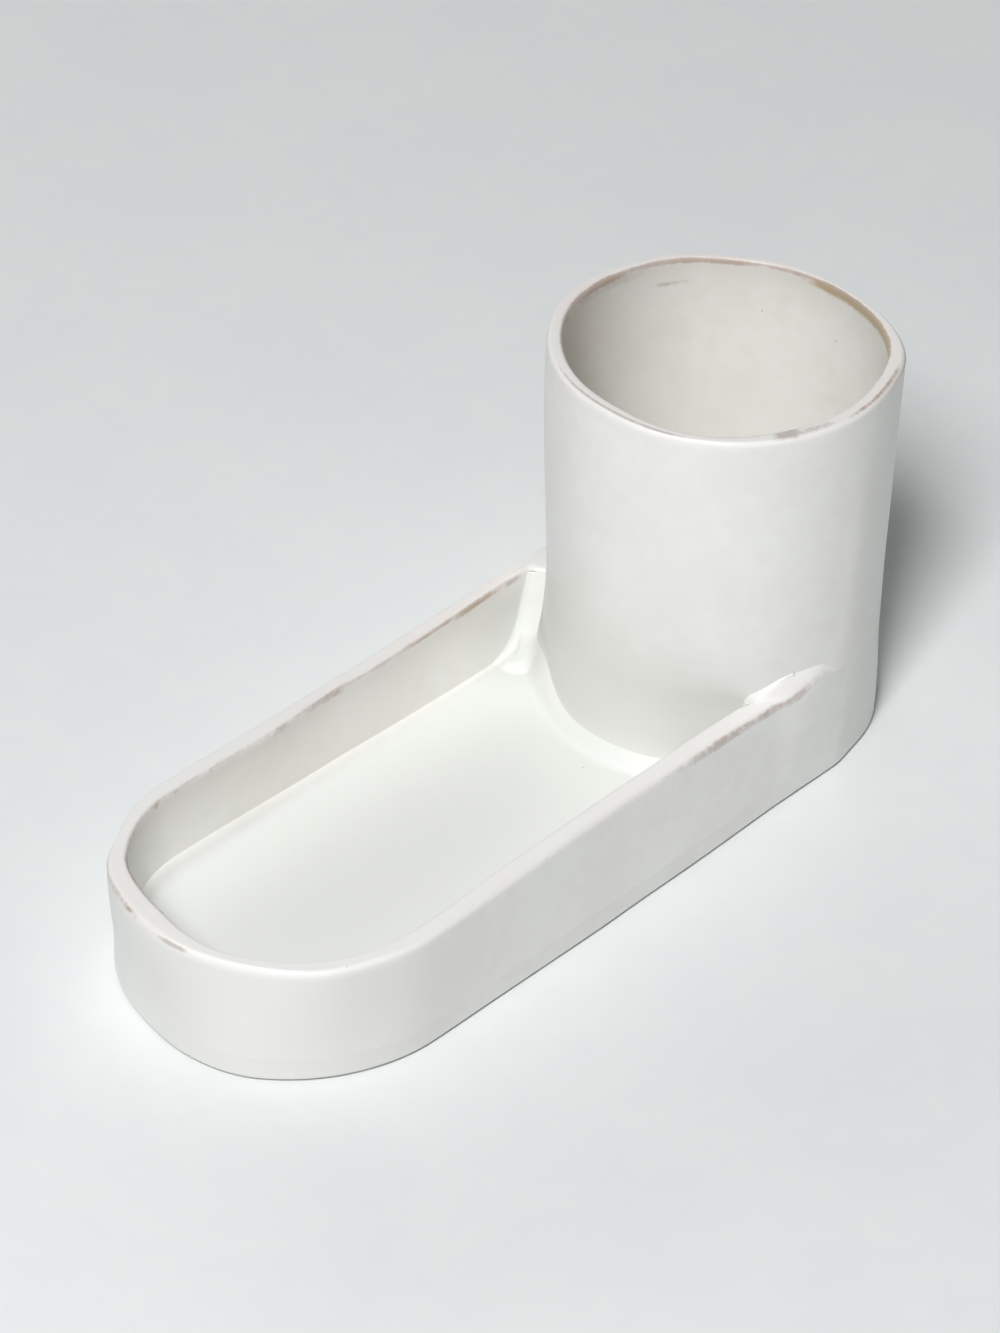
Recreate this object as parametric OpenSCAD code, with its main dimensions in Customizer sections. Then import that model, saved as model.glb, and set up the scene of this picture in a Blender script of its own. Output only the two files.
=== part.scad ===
// Toothbrush holder of hand-built glazed stoneware, in millimetres.
// A round cup stands on one end of a long slab, and a low wall runs round the other end as a tray.
// The cup is as wide as the tray, so the tray wall runs out flush with the cup's side.
// The origin is on the table under the middle of the slab, with the tray at -X and the cup at +X.

/* [Overall] */
// Length over the tray's round end and the cup
holder_l = 218; // [160:1:300]
// Width over the tray walls, which is also the outside diameter of the cup
holder_w = 80; // [60:1:110]

/* [Tray] */
// Height of the tray's rim above the table
tray_h = 28; // [20:0.5:45]
// Thickness of the tray wall
tray_wall_t = 5; // [4:0.25:8]
// Radius on both edges of the tray's rim
tray_rim_round = 1.8; // [0.6:0.1:3]
// Thickness at which the coped end of the tray wall stops on the cup
wall_end_t = 0.4; // [0.3:0.05:1.2]

/* [Cup] */
// Height of the cup's rim above the table
cup_h = 95.5; // [60:0.5:140]
// Thickness of the cup wall
cup_wall_t = 3.8; // [3:0.1:6]
// Radius on both edges of the cup's rim
cup_rim_round = 1.5; // [0.6:0.1:2.5]

/* [Base] */
// Thickness of the slab that floors the tray and the cup
slab_t = 5; // [3:0.25:9]
// Radius under the outer edge of the slab
slab_edge_round = 1.2; // [0.4:0.1:2.5]
// Height of the bare foot ring under the slab
foot_h = 1; // [0.6:0.1:3]
// Width of the foot ring
foot_w = 6; // [3:0.5:12]
// How far the foot ring stands in from the slab's outer edge
foot_inset = 2; // [1.5:0.25:5]

/* [Smoothed joints] */
// Radius of the coil along the foot of the tray wall and round the cup's foot
floor_coil_r = 4; // [2:0.25:6]
// How much larger the radius is in the upright corners between tray wall and cup
corner_more = 0.8; // [0.4:0.1:3]
// Radius of the coil inside the cup, round its floor
cup_coil_r = 5; // [2:0.25:8]
// Radius where the tray's rim sweeps up the side of the cup
rim_web_r = 3; // [1.5:0.25:5]
// How far every smoothing radius sinks past the faces that it joins, so that a coil ends in a clean edge
feather = 0.1; // [0.06:0.01:0.2]

/* [Hidden] */

// Fineness of the round shapes
$fn = 96;
// Overrun of every cut past the faces that it opens
cut_over = 1;
// Largest share of a wall that a radius on one of its edges may take
edge_limit_share = 0.42;
// A cutting radius against the radius that it leaves, so that it crosses both faces at a clear angle
edge_ease_share = 1.02;

// How much of the feather the foot of a corner coil takes, so that it meets the upright face at a clear angle
spread_share = 0.5;

glaze_colour = "#e9e9e3";
smoothed_colour = "#f3f3ee";
clay_colour = "#c9b69b";

// Half the width: the radius of the round end and of the cup
end_r = holder_w / 2;
cup_x = (holder_l - holder_w) / 2;
tray_x = -cup_x;
slab_z = foot_h + slab_t;

tray_in_r = end_r - tray_wall_t;
tray_rim_r = min(tray_rim_round, tray_wall_t * edge_limit_share);
cup_in_r = end_r - cup_wall_t;
cup_rim_r = min(cup_rim_round, cup_wall_t * edge_limit_share);
slab_edge_r = min(slab_edge_round, slab_t * edge_limit_share);

// The straight walls end where the cup's side has narrowed them to their end thickness
wall_end_x = cup_x - across(end_r, end_r - wall_end_t);

// The smoothing ball in an upright corner touches the tray wall and the cup
corner_r = floor_coil_r + corner_more;
corner_y = tray_in_r - corner_r;
corner_x = cup_x - across(end_r + corner_r, corner_y);
// Direction from the ball to the cup's axis, below the line along the tray
corner_turn = asin(corner_y / (end_r + corner_r));
// From the ball's far side to past the line where the tray wall meets the cup
corner_reach = cup_x - across(end_r, tray_in_r) - corner_x;

// The rim web starts where its outer edge crosses the inside of the tray wall
web_start_x = cup_x - across(end_r + rim_web_r, tray_in_r);

// The other short side of a right triangle, from its long side and one short side
function across(long_side, short_side) = sqrt(long_side * long_side - short_side * short_side);

// A cutter for one edge: what is left of a square corner outside its radius.
// The corner lies at the origin, and the wall lies towards -X and -Y from it.
module edge_cutter(r) {
    difference() {
        translate([-r, -r]) square(r + cut_over);
        translate([-r, -r]) circle(r * edge_ease_share);
    }
}

// Section of a smoothed coil with its square corner at the origin and its legs along +X and +Y
module coil_section(r) {
    difference() {
        square(r);
        translate([r, r]) circle(r + feather);
    }
}

// The same section in the corner between the floor and a wall that stands at a given radius
module coil_inside(wall_r, r) {
    translate([wall_r, slab_z]) mirror([1, 0]) coil_section(r);
}

module coil_outside(wall_r, r) {
    translate([wall_r, slab_z]) coil_section(r);
}

// Carries a section half way round an upright axis, on the side towards -X
module round_end() {
    rotate([0, 0, 90]) rotate_extrude(angle = 180) children();
}

// Carries a section along X on both sides of the tray
module both_sides(x_from, x_to) {
    one_side(x_from, x_to) children();
    mirror([0, 1, 0]) one_side(x_from, x_to) children();
}

module one_side(x_from, x_to) {
    translate([x_from, 0, 0])
        rotate([90, 0, 90])
        linear_extrude(height = x_to - x_from) children();
}

// Carries a section round the whole outline: both round ends and both straight sides
module round_the_base() {
    translate([tray_x, 0, 0]) round_end() children();
    both_sides(tray_x, cup_x) children();
    translate([cup_x, 0, 0]) mirror([1, 0, 0]) round_end() children();
}

// Half a section of the slab, from its middle line to its rounded outer edge
module slab_section() {
    difference() {
        translate([0, foot_h]) square([end_r, slab_t]);
        translate([end_r, foot_h]) mirror([0, 1]) edge_cutter(slab_edge_r);
    }
}

module foot_section() {
    translate([end_r - foot_inset - foot_w, 0]) square([foot_w, foot_h]);
}

// A wall that stands on the slab, with both edges of its rim rounded
module wall_section(in_r, out_r, top_z, rim_r) {
    difference() {
        translate([in_r, slab_z]) square([out_r - in_r, top_z - slab_z]);
        translate([out_r, top_z]) edge_cutter(rim_r);
        translate([in_r, top_z]) mirror([1, 0]) edge_cutter(rim_r);
    }
}

module tray_section() {
    wall_section(tray_in_r, end_r, tray_h, tray_rim_r);
}

// The space that the cup and what lies inside it take, for coping what butts against it
module cup_space() {
    translate([cup_x, 0, 0]) cylinder(h = cup_h + cut_over, r = end_r);
}

// Section of a corner coil, to be turned about the smoothing ball's upright axis.
// Above the floor coil's curve its face stands upright, and behind it the clay runs on into the corner.
module corner_section() {
    difference() {
        translate([corner_r - floor_coil_r, slab_z])
            square([floor_coil_r + corner_reach, tray_h - tray_rim_r - slab_z]);
        translate([corner_r - floor_coil_r, slab_z + floor_coil_r])
            circle(floor_coil_r + feather * spread_share);
        translate([0, slab_z + floor_coil_r]) square([corner_r + feather, tray_h]);
    }
}

// Section of the rim web, whose upright leg lies on the cup and whose foot fills the rounded rim
module web_section() {
    difference() {
        translate([end_r, tray_h - tray_rim_r]) square([rim_web_r, rim_web_r + tray_rim_r]);
        translate([end_r + rim_web_r, tray_h + rim_web_r]) circle(rim_web_r + feather);
    }
}

// Floor of the tray and of the cup in one rolled slab
module base_slab() {
    color(glaze_colour) round_the_base() slab_section();
}

// Bare clay ring that the holder stands on
module foot_ring() {
    color(clay_colour) round_the_base() foot_section();
}

// One strip bent round the tray's end, with both ends coped to the cup's side
module tray_wall() {
    color(glaze_colour)
        difference() {
            union() {
                translate([tray_x, 0, 0]) round_end() tray_section();
                both_sides(tray_x, wall_end_x) tray_section();
            }
            cup_space();
        }
}

// Open tube that stands on the slab's other end
module cup_wall() {
    color(glaze_colour)
        translate([cup_x, 0, 0])
        rotate_extrude() wall_section(cup_in_r, end_r, cup_h, cup_rim_r);
}

// Coil smoothed into the foot of the tray wall, up to where the corner coils begin
module tray_floor_coil() {
    color(smoothed_colour) {
        translate([tray_x, 0, 0]) round_end() coil_inside(tray_in_r, floor_coil_r);
        both_sides(tray_x, corner_x) coil_inside(tray_in_r, floor_coil_r);
    }
}

// Coil smoothed round the cup's foot, between the two corner coils
module cup_foot_coil() {
    color(smoothed_colour)
        translate([cup_x, 0, 0])
        rotate([0, 0, 180 - corner_turn])
        rotate_extrude(angle = corner_turn * 2) coil_outside(end_r, floor_coil_r);
}

// Coil pressed into the upright corner, which spreads into the floor coils at its foot
module corner_coil() {
    color(smoothed_colour)
        difference() {
            translate([corner_x, corner_y, 0])
                rotate([0, 0, -corner_turn])
                rotate_extrude(angle = corner_turn + 90) corner_section();
            cup_space();
            translate([corner_x - cut_over, tray_in_r, 0])
                cube([end_r, corner_reach + cut_over, tray_h]);
        }
}

module corner_coil_front() {
    mirror([0, 1, 0]) corner_coil();
}

module corner_coil_back() {
    corner_coil();
}

// Clay swept up the cup's side from the end of the tray's rim
module rim_web() {
    color(smoothed_colour)
        difference() {
            intersection() {
                translate([cup_x, 0, 0]) rotate_extrude() web_section();
                translate([web_start_x, tray_in_r, slab_z])
                    cube([wall_end_x - web_start_x, tray_wall_t, cup_h]);
            }
            one_side(tray_x, cup_x) tray_section();
        }
}

module rim_web_front() {
    mirror([0, 1, 0]) rim_web();
}

module rim_web_back() {
    rim_web();
}

// Coil smoothed round the floor inside the cup
module cup_floor_coil() {
    color(smoothed_colour)
        translate([cup_x, 0, 0])
        rotate_extrude() coil_inside(cup_in_r, cup_coil_r);
}

base_slab();
foot_ring();
tray_wall();
cup_wall();
tray_floor_coil();
cup_foot_coil();
corner_coil_front();
corner_coil_back();
rim_web_front();
rim_web_back();
cup_floor_coil();
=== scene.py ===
"""Toothbrush holder of hand-built stoneware under a white glaze, on a pale table in soft daylight.

Sizes are in millimetres until a mesh is made. They come from the frame, or are named values below.
Every surface is worked out on its plain geometric form first. One function, left_by_hand, then leans,
dents and waves the clay the way a potter's hands left it. All the pieces go through that function, so
their seams stay shut and the glaze runs across them.
"""

import bpy
import numpy as np
from mathutils import Matrix, Vector


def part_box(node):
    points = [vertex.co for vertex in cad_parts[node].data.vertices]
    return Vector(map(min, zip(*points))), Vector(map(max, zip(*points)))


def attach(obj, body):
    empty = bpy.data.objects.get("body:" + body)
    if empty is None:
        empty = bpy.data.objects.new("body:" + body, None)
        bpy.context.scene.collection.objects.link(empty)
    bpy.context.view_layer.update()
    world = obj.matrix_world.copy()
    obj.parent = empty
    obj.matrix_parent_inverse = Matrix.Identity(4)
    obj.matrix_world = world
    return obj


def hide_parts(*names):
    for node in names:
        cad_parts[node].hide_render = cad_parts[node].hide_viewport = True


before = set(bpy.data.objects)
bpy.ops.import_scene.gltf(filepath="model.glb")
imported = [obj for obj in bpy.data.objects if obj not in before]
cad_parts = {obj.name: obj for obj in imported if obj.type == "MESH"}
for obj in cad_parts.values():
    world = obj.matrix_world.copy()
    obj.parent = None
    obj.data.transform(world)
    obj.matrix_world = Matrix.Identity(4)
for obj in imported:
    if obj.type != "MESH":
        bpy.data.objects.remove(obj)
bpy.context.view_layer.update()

MM = 0.001


def node_box(node):
    """Lowest and highest corner of a node of the frame, in millimetres."""
    return [np.array(corner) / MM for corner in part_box(node)]


# Sizes from the frame
cup_low, cup_high = node_box("cup_wall")
tray_low, tray_high = node_box("tray_wall")
slab_low, slab_high = node_box("base_slab")

END_R = (cup_high[1] - cup_low[1]) / 2
CUP_X = (cup_high[0] + cup_low[0]) / 2
TRAY_X = tray_low[0] + END_R
CUP_TOP = cup_high[2]
TRAY_TOP = tray_high[2]
FLOOR_Z = slab_high[2]
UNDERSIDE_Z = slab_low[2]
TRAY_IN_R = node_box("tray_floor_coil")[1][1]
CUP_IN_R = node_box("cup_floor_coil")[1][1]
FOOT_OUT_R = node_box("foot_ring")[1][1]

# Radii of the smoothed clay
CUP_LIP_R = 1.2
TRAY_LIP_R = 1.3
SLAB_EDGE_R = 0.8
COIL_R = 4.0
CUP_COIL_R = 5.0
CORNER_FOOT_R = 4.8
FRONT_WEB_R, BACK_WEB_R = 4.8, 0.8
COIL_TOP = FLOOR_Z + COIL_R

# Radius of each corner coil just above its foot and at the rim, and how fast the foot narrows going up
FRONT_CORNER_R = (2.8, 2.2)
BACK_CORNER_R = (1.6, 0.7)
SPREAD_HEIGHT = 1.9

# The middle of a corner coil's foot is sunk by this share of the coil's height, and less above it
CORNER_SUNK, SINK_HEIGHT = 0.6, 4.0

# Width of the foot ring and the radius of its lower edges
FOOT_W = 6.0
FOOT_EDGE_R = 0.35

# How far a coil's hollow is filled towards a flat, along the floor, up the corners and in the webs
COIL_FLAT = 0.7
CORNER_FLAT = 0.6
WEB_FLAT = 0.6

# A web climbs the cup over this share of its width, from the inner edge of the rim
WEB_CLIMBS = (-0.1, 0.45)

# A seam is one shared line, past which each piece runs on this far and sinks this deep in its neighbour
SEAM_RUN = 0.1
SEAM_SINK = 0.05
SEAM_Z = FLOOR_Z - SEAM_RUN

# How deep the hidden faces of a piece lie, and how far the rim sinks under a web
BURIED = 0.5
RIM_SINK = 0.3

# Spacing of the grid, which is finer for some way down both sides of a lip and beside the cup
STEP = 1.0
FINE_STEP, FINE_DEPTH, FINE_BESIDE_CUP = 0.35, 5.0, 30.0
ARC_STEPS = 12
COIL_STEPS = 28
END_STEPS = 128
WEB_STEPS = 63
SKIRT_ROWS = 6

# A corner coil has this many rows up to this height above its foot, and then one every half step
CLOSE_ROWS, CLOSE_ROWS_TO = 8, 2.0

SHARP_ANGLE = np.radians(20)

# A length that counts as nothing
TINY = 1e-6


# Small formulas

def smooth(value, start, end):
    """Rises from 0 at start to 1 at end, level at both: 3 t squared less 2 t cubed."""
    share = np.clip((value - start) / (end - start), 0, 1)
    return share * share * (3 - 2 * share)


def window(value, start, full, fading, gone):
    """Rises smoothly to 1 between the first two values, and falls back to 0 between the last two."""
    return smooth(value, start, full) * (1 - smooth(value, fading, gone))


def bump(value, middle, width):
    """A bell that is 1 at its middle and about a third at one width from it."""
    return np.exp(-((value - middle) / width) ** 2)


def turn_from(angle, middle):
    """Difference of two angles in degrees, brought to between -180 and 180."""
    return (angle - middle + 180) % 360 - 180


def eased_steps(count):
    """Shares from 0 to 1 that lie closer together at both ends: half of one less the cosine."""
    return (1 - np.cos(np.linspace(0, np.pi, count + 1))) / 2


def lip_drop(edge, radius):
    """How far a rounded edge has fallen at a distance in from its side: a quarter circle."""
    inside = np.clip(edge, 0, radius)
    return radius - np.sqrt(radius ** 2 - (radius - inside) ** 2)


def pressed_curve(radius, flat):
    """A pressed coil's curve as distances from the wall and heights above the floor.

    It is a hollow quarter circle, drawn towards its chord at the wall by the share called flat.
    """
    along = eased_steps(COIL_STEPS)
    turn = along * np.pi / 2
    arc = radius * np.stack([1 - np.cos(turn), 1 - np.sin(turn)], axis=1)
    chord = radius * np.stack([along, 1 - along], axis=1)
    share = (flat * (1 - smooth(along, 0.25, 1)))[:, None]
    return arc * (1 - share) + chord * share


def web_rise(gap, radius):
    """How far the rim's clay has climbed at a distance from the cup's side, along a pressed curve."""
    away, climbed = pressed_curve(radius, WEB_FLAT).T
    return np.interp(gap, away, climbed)


# Places round the holder, in millimetres along its outline from the cup's front, round by the tray's end

SIDE = CUP_X - TRAY_X
PER_DEGREE = END_R * np.pi / 180
ALL_ROUND = 2 * SIDE + 360 * PER_DEGREE

# What differs in front and behind changes over from this far before the middle line to this far behind it
ACROSS = 14.0


def front(x):
    return CUP_X - x


def tray_end(angle):
    return SIDE + (270 - angle) * PER_DEGREE


def back(x):
    return SIDE + 180 * PER_DEGREE + x - TRAY_X


def cup_end(angle):
    return 2 * SIDE + (270 - angle) * PER_DEGREE


def away_from(points, x):
    """Direction and distance on the level, from the place x on the middle line to each point."""
    offset = np.stack([points[:, 0] - x, points[:, 1]], axis=1)
    distance = np.hypot(offset[:, 0], offset[:, 1])
    return offset / np.maximum(distance, TINY)[:, None], distance


class Places:
    """Where points of the plain form lie about the outline's middle line and about the cup's axis."""

    def __init__(self, points):
        self.x, self.y, self.z = points.T
        self.outward, self.reach = away_from(points, np.clip(self.x, TRAY_X, CUP_X))
        self.cup_outward, self.cup_radius = away_from(points, CUP_X)
        self.cup_angle = np.degrees(np.arctan2(self.y, self.x - CUP_X))
        self.gap = self.cup_radius - END_R
        self.behind = smooth(self.y, -ACROSS, ACROSS)
        tray_angle = np.degrees(np.arctan2(self.y, self.x - TRAY_X)) % 360
        at_side = np.where(self.y < 0, front(self.x), back(self.x))
        at_cup = np.where(self.x > CUP_X, cup_end(self.cup_angle), at_side)
        self.along = np.where(self.x < TRAY_X, tray_end(tray_angle), at_cup)

    def turned(self, angle):
        """How far round the cup each point lies from an angle, in degrees."""
        return turn_from(self.cup_angle, angle)

    def share(self, **limits):
        """The product of one share for each named measure of the points.

        Two values are where it is 0 and where it is 1, and two more where it fades and is gone. A
        measure with bell before its name has the bell's middle and width.
        """
        product = 1.0
        for name, values in limits.items():
            value = getattr(self, name.removeprefix("bell_"))
            if name == "bell_cup_angle":
                product = product * bump(turn_from(value, values[0]), 0, values[1])
            else:
                formula = bump if name.startswith("bell_") else smooth if len(values) == 2 else window
                product = product * formula(value, *values)
        return product


def wander(at, knots, period):
    """A smooth closed line through named amounts: cubics, each slope being that between both neighbours."""
    places, amounts = np.array(sorted(knots)).T
    places = np.concatenate([places[-2:] - period, places, places[:2] + period])
    amounts = np.concatenate([amounts[-2:], amounts, amounts[:2]])
    slopes = (amounts[2:] - amounts[:-2]) / (places[2:] - places[:-2])
    places, amounts = places[1:-1], amounts[1:-1]
    at = (at - places[0]) % period + places[0]
    here = np.clip(np.searchsorted(places, at, side="right") - 1, 0, len(places) - 2)
    span = places[here + 1] - places[here]
    share = (at - places[here]) / span
    leaving = slopes[here] * span * share * (1 - share) ** 2
    arriving = slopes[here + 1] * span * share ** 2 * (share - 1)
    return amounts[here] + (amounts[here + 1] - amounts[here]) * smooth(share, 0, 1) + leaving + arriving


def line(**sides):
    """Amounts named at places on the sides of the outline, as pairs of place along it and amount."""
    places = {"front": front, "tray_end": tray_end, "back": back, "cup_end": cup_end}
    return [(places[side](at), amount) for side, named in sides.items() for at, amount in named.items()]


# What the hands left: how far each line lies outside its plain one, in millimetres, at named places
TRAY_LIP_OUTER = line(
    front={69: -1.6, 42: -2.5, 20: -3.0, -12: -3.3, -40: -2.6, -62: -2.1},
    tray_end={252: -2.9, 230: -2.2, 205: -2.7, 180: -2.0, 160: -1.3, 134: -0.3, 120: -1.2, 106: -0.6},
    back={-64: 0.0, -48: -0.2, -22: -0.5, 8: -0.4, 36: 0.0, 69: 0.0}, cup_end={0: 0.0})
TRAY_LIP_INNER = line(
    front={69: -1.8, 34: -3.3, 13: -3.5, -20: -3.1, -42: -2.8, -58: -1.8},
    tray_end={262: -1.9, 238: -1.6, 211: -1.0, 195: -0.8, 178: -1.9, 164: -2.6, 147: -1.3, 130: 0.5},
    back={-54: 0.7, -38: 0.3, -18: 1.0, -6: 0.4, 20: 1.0, 40: 1.8, 69: 1.6}, cup_end={0: 0.0})
FOOT_LINE = line(
    front={69: -0.3, 48: -0.4, 22: -0.1, -10: 0.0, -34: -0.1, -66: -0.6},
    tray_end={245: -1.1, 222: -0.6, 206: -0.3, 187: -1.4, 168: -2.7, 147: -2.4, 110: -1.4},
    back={-40: -0.8, 30: -0.5}, cup_end={70: -0.6, 0: -0.8, -36: -0.1, -52: 0.6, -64: 0.2, -79: -0.7})
CUP_LIP_OUTER = [
    (-163, 0.6), (-145, 0.5), (-128, 0.0), (-108, -0.7), (-88, -1.3), (-70, -1.5), (-50, -0.5),
    (-32, -1.2), (-12, -2.3), (3, -2.2), (18, -1.4), (34, -1.9), (48, -0.9), (58, -0.4), (70, -1.0),
    (84, -0.2), (104, 0.1), (129, -0.2), (155, 0.0), (178, 0.1)]
CUP_LIP_INNER = [
    (-171, 0.9), (-156, 1.8), (-143, 1.3), (-128, 0.0), (-115, -0.8), (-98, -1.2), (-78, -1.7),
    (-62, -1.3), (-46, -0.4), (-10, 0.0), (25, 0.0), (38, 0.0), (52, 0.7), (80, 0.6), (110, 0.4),
    (130, 0.0), (159, 0.1), (180, 0.2)]

# How far the top of the pressed coil at the wall's foot lies above its plain height
COIL_LINE = line(front={69: 0.0, -69: 0.0}, tray_end={200: 0.2, 130: 1.4},
                 back={-66: 1.3, -28: 0.3, 10: -0.9, 34: -1.5, 60: -1.0}, cup_end={0: 0.0})

# The wall's part grows on above the rim, into the webs, to this share of the wall's height
ABOVE_RIM = 1.2

# How far from the cup's side the tray wall's part and the cup's own part give way to each other
FRONT_WALL_FADE, BACK_WALL_FADE = 6.0, 1.2
FRONT_CUP_FADE, BACK_CUP_FADE = 4.0, 1.4

# The cup is drawn in above its joint with the back wall. At its foot this waist lies farther round and
# takes the coil and the floor along.
WAIST_Z = 30.0
WAIST_ANGLE, WAIST_IN, WAIST_WIDTH = 129, 2.7, 32
FOOT_WAIST_TURN, FOOT_WAIST_FADE = 14, 11.0

# On the opposite side it is drawn in and pressed flat a little: angle, depth and width, and the share
# of it that is left at the foot
FLATS = [(-51, 0.5, 40), (-67, 0.38, 12)]
FLATS_AT_FOOT = 0.3

# Above the front rim's end the cup's side has a soft crest, which bends towards the rim at its foot
CREST_OUT, CREST_HALF = 0.28, 6.0
CREST_ANGLE, CREST_BEND, CREST_FALL = -89, -10, 4.0

# The back corner's clay laps over the cup's side as a thin skin, as far round as this angle
LAP_ANGLE, LAP_OUT, LAP_EDGE = 137, 0.45, 2.5

# The end of the front web is pulled down the cup's side
PULLED_DOWN = 2.6

# The coil round the cup's foot climbs into the back corner, where more clay is pressed in
CLIMB_RISE, CLIMB_BELOW, CLIMB_ABOVE = 5.6, 3.5, 10.0
CLIMB_TURN = (143, 15)
MOUND_X, MOUND_Y = 42.0, 31.5
MOUND_RISE, MOUND_WIDTH = 0.7, 4.0
RIDGE_RISE = 1.0

# At its top the back corner's clay is drawn along the wall, round behind the cup's edge
DRAWN_ALONG = 3.0

# The tray's floor banks up to the wall's foot in one hollow curve, this wide and this strongly bent,
# and the slab's outer edge sags towards the table
BANK_WIDTH, BANK_BEND = 12.0, 1.8
SAG = 0.5

# Shallow unevenness of the whole surface: wave directions and spacings as turns per metre, and depth
RIPPLES = [((23, 9, 14), 0.05), ((-11, 26, 31), 0.04), ((38, -29, 12), 0.02)]


def ripple(points):
    """Sum of a few slow sine waves in different directions, all of it inside the plain form."""
    waves = [depth * (np.sin(points @ (np.array(turns) * MM * 2 * np.pi) + number * 1.7) - 1)
             for number, (turns, depth) in enumerate(RIPPLES)]
    return sum(waves)


def between_lips(distance, inner_r, at, inner_line, outer_line, period):
    """Amount through a wall, going evenly from the inner lip's to the outer lip's."""
    through = np.clip((distance - inner_r) / (END_R - inner_r), 0, 1)
    return wander(at, inner_line, period) * (1 - through) + wander(at, outer_line, period) * through


def wall_shift(at, uneven):
    """How far the tray's wall moves out: the lips' amounts growing evenly up it, and the foot's fading."""
    lip = between_lips(at.reach, TRAY_IN_R, at.along, TRAY_LIP_INNER, TRAY_LIP_OUTER, ALL_ROUND)
    up_wall = np.clip((at.z - FLOOR_Z) / (TRAY_TOP - FLOOR_Z), 0, ABOVE_RIM)
    off_cup = smooth(at.gap / np.where(at.y < 0, FRONT_WALL_FADE, BACK_WALL_FADE), 0, 1)
    wall = (lip * up_wall + uneven) * at.share(reach=(20, 33)) * off_cup
    foot = wander(at.along, FOOT_LINE, ALL_ROUND) * at.share(z=(TRAY_TOP, FLOOR_Z - 2), reach=(28, 38))
    return wall + foot


def cup_shift(at, uneven):
    """How far the cup moves out from its axis.

    From the waist up the lips' amounts grow evenly, while the waist and the flats fade out.
    """
    lip = between_lips(at.cup_radius, CUP_IN_R, at.cup_angle, CUP_LIP_INNER, CUP_LIP_OUTER, 360)
    up_cup = np.clip((at.z - WAIST_Z) / (CUP_TOP - WAIST_Z), 0, 1)
    by_foot = at.share(z=(FLOOR_Z + 16, FLOOR_Z + 4))
    by_joint = smooth(at.turned(180), -66, -90) * at.share(z=(TRAY_TOP + 12, TRAY_TOP - 2))
    waist = WAIST_IN * bump(at.turned(WAIST_ANGLE + FOOT_WAIST_TURN * by_foot), 0, WAIST_WIDTH)
    flats = sum(depth * at.share(bell_cup_angle=(angle, width)) for angle, depth, width in FLATS)
    flats = flats * (FLATS_AT_FOOT + (1 - FLATS_AT_FOOT) * at.share(z=(FLOOR_Z + 2, TRAY_TOP)))
    drawn_in = (waist * (1 - by_joint) + flats) * smooth(up_cup, 0.95, 0)
    crest_angle = CREST_ANGLE + CREST_BEND * np.exp(-np.clip(at.z - TRAY_TOP, 0, None) / CREST_FALL)
    crest = CREST_OUT * bump(at.turned(crest_angle), 0, CREST_HALF)
    crest = crest * at.share(z=(TRAY_TOP, WAIST_Z + 4, (WAIST_Z + CUP_TOP) / 2, CUP_TOP))
    lap = LAP_OUT * smooth(at.turned(LAP_ANGLE), LAP_EDGE, -LAP_EDGE)
    lap = lap * at.share(cup_angle=(95, 115), bell_z=(19, 9))
    outside = (crest + lap) * at.share(cup_radius=(END_R - 2, END_R - 1))
    body = (lip * up_cup - drawn_in + outside + uneven) * at.share(cup_radius=(12, 30))
    back_fade = BACK_CUP_FADE + FOOT_WAIST_FADE * by_foot * at.share(reach=(33, 26))
    fade = FRONT_CUP_FADE + (back_fade - FRONT_CUP_FADE) * at.behind
    return body * smooth(at.gap / fade, 1, 0)


def lift(at):
    """How far the clay rises: along the coils' tops, by the corners and where the floor banks up.

    The bank replaces the coil's plain curve: its height falls from the coil's at the wall with a power
    of the share of its width that is left. The slab's sag and the web's pulled end are taken off.
    """
    line_rise = wander(at.along, COIL_LINE, ALL_ROUND)
    line_rise = line_rise * at.share(bell_z=(COIL_TOP, 3), reach=(29, 34), gap=(0, 3))
    climb = CLIMB_RISE * bump(at.z - COIL_TOP, 0, np.where(at.z < COIL_TOP, CLIMB_BELOW, CLIMB_ABOVE))
    climb = climb * at.share(bell_cup_angle=CLIMB_TURN, gap=(-3, -1, 0, 6), z=(UNDERSIDE_Z + 1, FLOOR_Z - 1))
    mound = MOUND_RISE * bump(np.hypot(at.x - MOUND_X, np.abs(at.y) - MOUND_Y), 0, MOUND_WIDTH)
    ridge = RIDGE_RISE * at.share(bell_gap=(4.0, 2.6), bell_cup_angle=CLIMB_TURN)
    on_floor = at.share(bell_z=(FLOOR_Z, 5), z=(SEAM_Z - 1, FLOOR_Z - 0.5))
    away = np.clip(TRAY_IN_R - at.reach, 0, BANK_WIDTH)
    plain_rise = np.interp(away, *pressed_curve(COIL_R, COIL_FLAT).T)
    bank = COIL_R * (1 - away / BANK_WIDTH) ** BANK_BEND - plain_rise
    bank = bank * at.share(gap=(2, 8), z=(FLOOR_Z - 1, SEAM_Z, COIL_TOP, COIL_TOP + 2))
    sag = SAG * at.share(reach=(END_R - 2.5, END_R - 0.5), z=(0.2, 1, 1, 4))
    pulled = PULLED_DOWN * smooth(at.turned(-103), 0, 10) * smooth(at.turned(-70), 30, 0)
    pulled = pulled * at.share(z=(TRAY_TOP - 1, TRAY_TOP + 3, 38, 60), gap=(-3.5, -1, 1, 3.5)) * (at.y < 0)
    return line_rise + climb + (mound + ridge) * on_floor + bank - sag - pulled


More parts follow.
